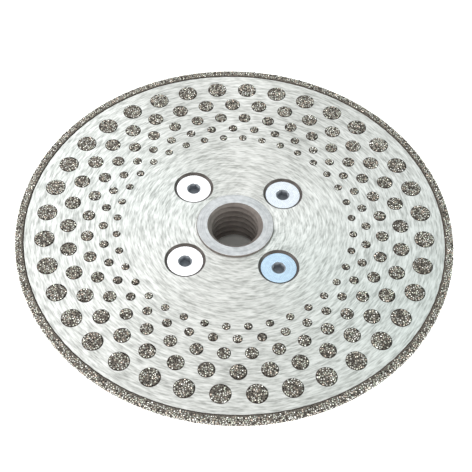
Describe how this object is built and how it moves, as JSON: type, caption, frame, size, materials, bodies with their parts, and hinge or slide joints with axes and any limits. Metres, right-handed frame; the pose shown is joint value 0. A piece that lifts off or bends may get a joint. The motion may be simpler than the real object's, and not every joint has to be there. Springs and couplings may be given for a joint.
{
  "type": "diamond grinding wheel",
  "caption": "Flat steel grinding disc plated with diamond grit in dots on both faces and round its rim, screwed to a flanged hub with a threaded bore for an angle grinder's spindle.",
  "frame": {"origin": "centre of the hub collar's seat, the ring at the back that stops against the spindle's shoulder; the wheel rests on it when it lies front face up", "axes": "+Z along the axis of rotation, from the machine towards the wheel's front face; +X and +Y lie in the disc's plane, with the hub's wrench flats facing +X and -X and the four screws midway between the axes"},
  "size_m": [0.125, 0.125, 0.015],
  "materials": {
    "ground_steel": "bright ground steel with fine marks round the axis",
    "diamond_plating": "dark nickel bond holding one rough layer of pale diamond grit",
    "hub_steel": "turned steel, pale zinc plate",
    "screw_zinc": "bright blue-white zinc plate"
  },
  "bodies": {
    "root": {"steel_core": "ground_steel", "rim_plating": "diamond_plating", "hub_flange": "hub_steel", "front_dots_ring_1": "diamond_plating", "front_dots_ring_2": "diamond_plating", "front_dots_ring_3": "diamond_plating", "front_dots_ring_4": "diamond_plating", "front_dots_ring_5": "diamond_plating", "back_dots_ring_1": "diamond_plating", "back_dots_ring_2": "diamond_plating", "back_dots_ring_3": "diamond_plating", "back_dots_ring_4": "diamond_plating", "back_dots_ring_5": "diamond_plating", "flange_screw_1": "screw_zinc", "flange_screw_2": "screw_zinc", "flange_screw_3": "screw_zinc", "flange_screw_4": "screw_zinc"}
  },
  "joints": []
}
